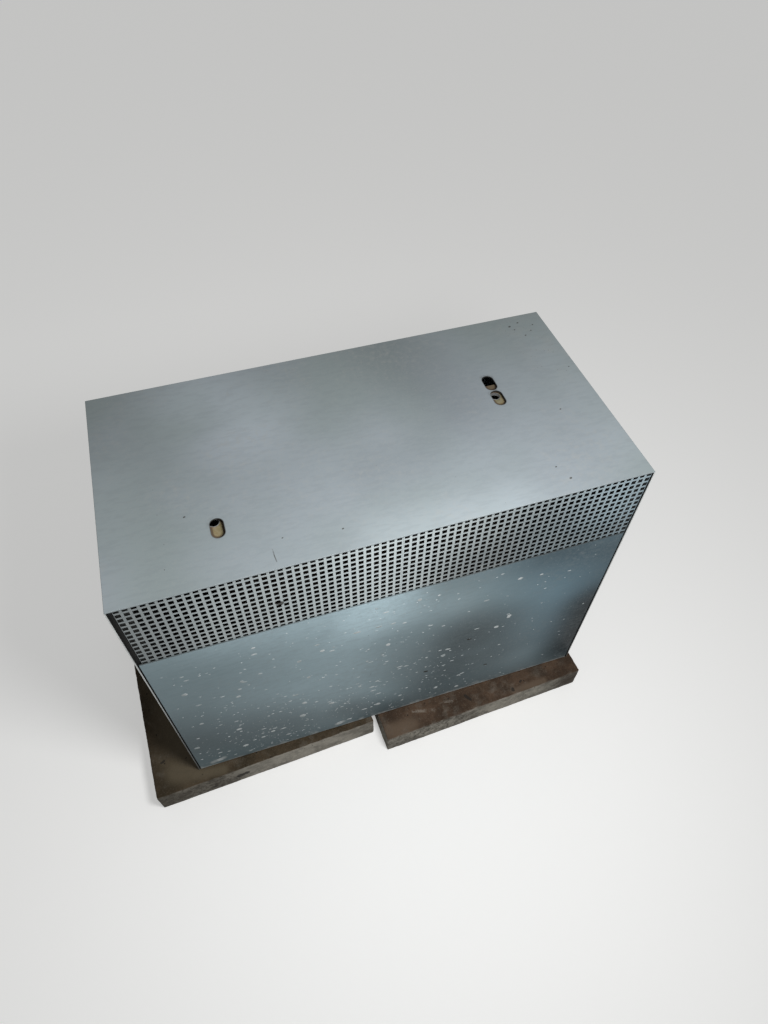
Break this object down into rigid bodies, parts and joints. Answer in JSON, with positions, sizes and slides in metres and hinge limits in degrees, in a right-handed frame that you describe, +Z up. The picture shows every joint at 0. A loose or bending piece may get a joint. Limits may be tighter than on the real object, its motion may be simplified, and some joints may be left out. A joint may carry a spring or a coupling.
{
  "type": "enclosed dry-type power transformer on paving slabs",
  "caption": "Dry-type power transformer in a grey sheet steel cabinet with perforated vent bands and slotted cover, standing on concrete paving slabs.",
  "frame": {"origin": "on the ground under the middle of the cabinet's plan, at the underside of the paving slabs", "axes": "+Z up, +X along the cabinet's long side to the right seen from the front, +Y from its front to its back"},
  "size_m": [1.0366, 0.5506, 0.76],
  "materials": {
    "grey_paint": "light grey powder coat, with dust, specks and dried splashes",
    "vent_paint": "light grey powder coat on perforated sheet",
    "frame_steel": "dark grey paint",
    "passivated_steel": "yellow-passivated zinc plating",
    "core_steel": "varnished core laminations",
    "winding": "impregnated winding with insulation tape",
    "board": "laminated insulating board",
    "dark_plastic": "moulded cable gland",
    "brass": "plain turned brass",
    "concrete": "worn, dusty concrete paving"
  },
  "bodies": {
    "root": {"paving_slab_left": "concrete", "paving_slab_right": "concrete", "base_rail_front": "frame_steel", "base_rail_back": "frame_steel", "base_rail_left": "frame_steel", "base_rail_right": "frame_steel", "corner_post_front_left": "frame_steel", "corner_post_front_right": "frame_steel", "corner_post_back_left": "frame_steel", "corner_post_back_right": "frame_steel", "cross_rail_front": "frame_steel", "cross_rail_back": "frame_steel", "top_cover": "grey_paint", "left_side_panel": "grey_paint", "right_side_panel": "grey_paint", "front_panel": "grey_paint", "back_panel": "grey_paint", "front_vent_sheet_left": "vent_paint", "front_vent_sheet_right": "vent_paint", "back_vent_sheet": "vent_paint", "core_limb_left": "core_steel", "core_limb_middle": "core_steel", "core_limb_right": "core_steel", "core_yoke_top": "core_steel", "core_yoke_bottom": "core_steel", "coil_left": "winding", "coil_middle": "winding", "coil_right": "winding", "clamp_top_front": "passivated_steel", "clamp_top_back": "passivated_steel", "clamp_bottom_front": "passivated_steel", "clamp_bottom_back": "passivated_steel", "lifting_rail_left": "passivated_steel", "lifting_rail_right": "passivated_steel", "core_foot_left": "frame_steel", "core_foot_right": "frame_steel", "terminal_board": "board", "gland_plate": "grey_paint", "cable_gland_left": "dark_plastic", "cable_gland_right": "dark_plastic", "earth_stud": "brass"}
  },
  "joints": []
}
